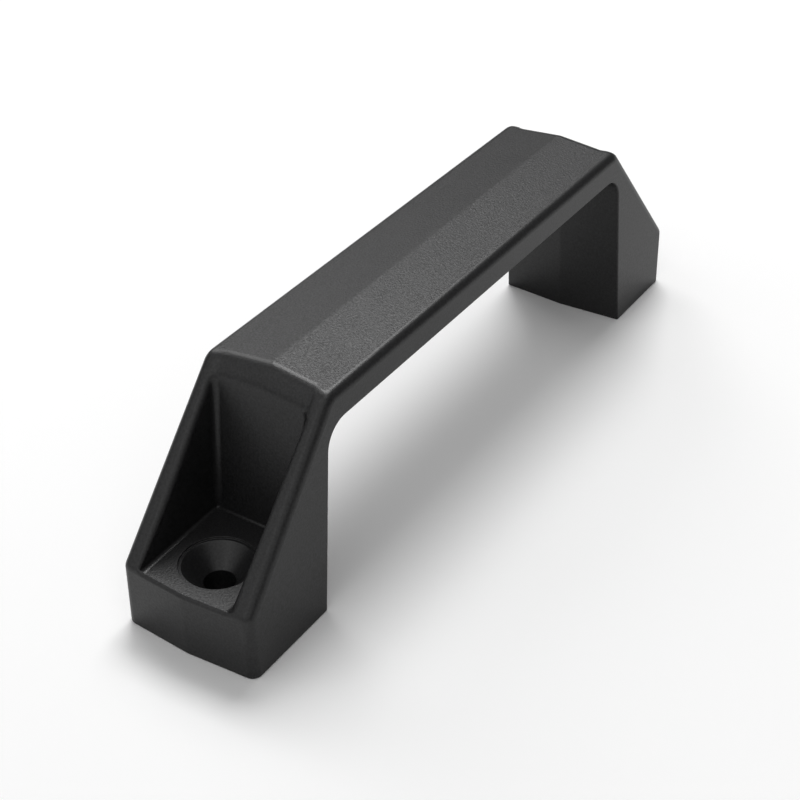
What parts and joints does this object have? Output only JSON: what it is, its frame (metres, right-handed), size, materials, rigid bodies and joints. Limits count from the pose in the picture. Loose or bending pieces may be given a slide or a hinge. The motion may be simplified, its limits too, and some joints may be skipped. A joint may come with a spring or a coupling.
{
  "type": "bar handle",
  "caption": "Straight bar handle moulded in one piece, with faceted faces and an open pocket over a countersunk screw hole in each foot.",
  "frame": {"origin": "midway between the two screw holes, on the plane of the feet", "axes": "+X along the grip from one foot to the other, +Y across the handle's width, +Z away from the mounting surface"},
  "size_m": [0.1516, 0.0274, 0.043],
  "materials": {
    "black_plastic": "moulded black plastic with a fine matt grain, a little smoother inside the pockets"
  },
  "bodies": {
    "root": {"handle": "black_plastic"}
  },
  "joints": []
}
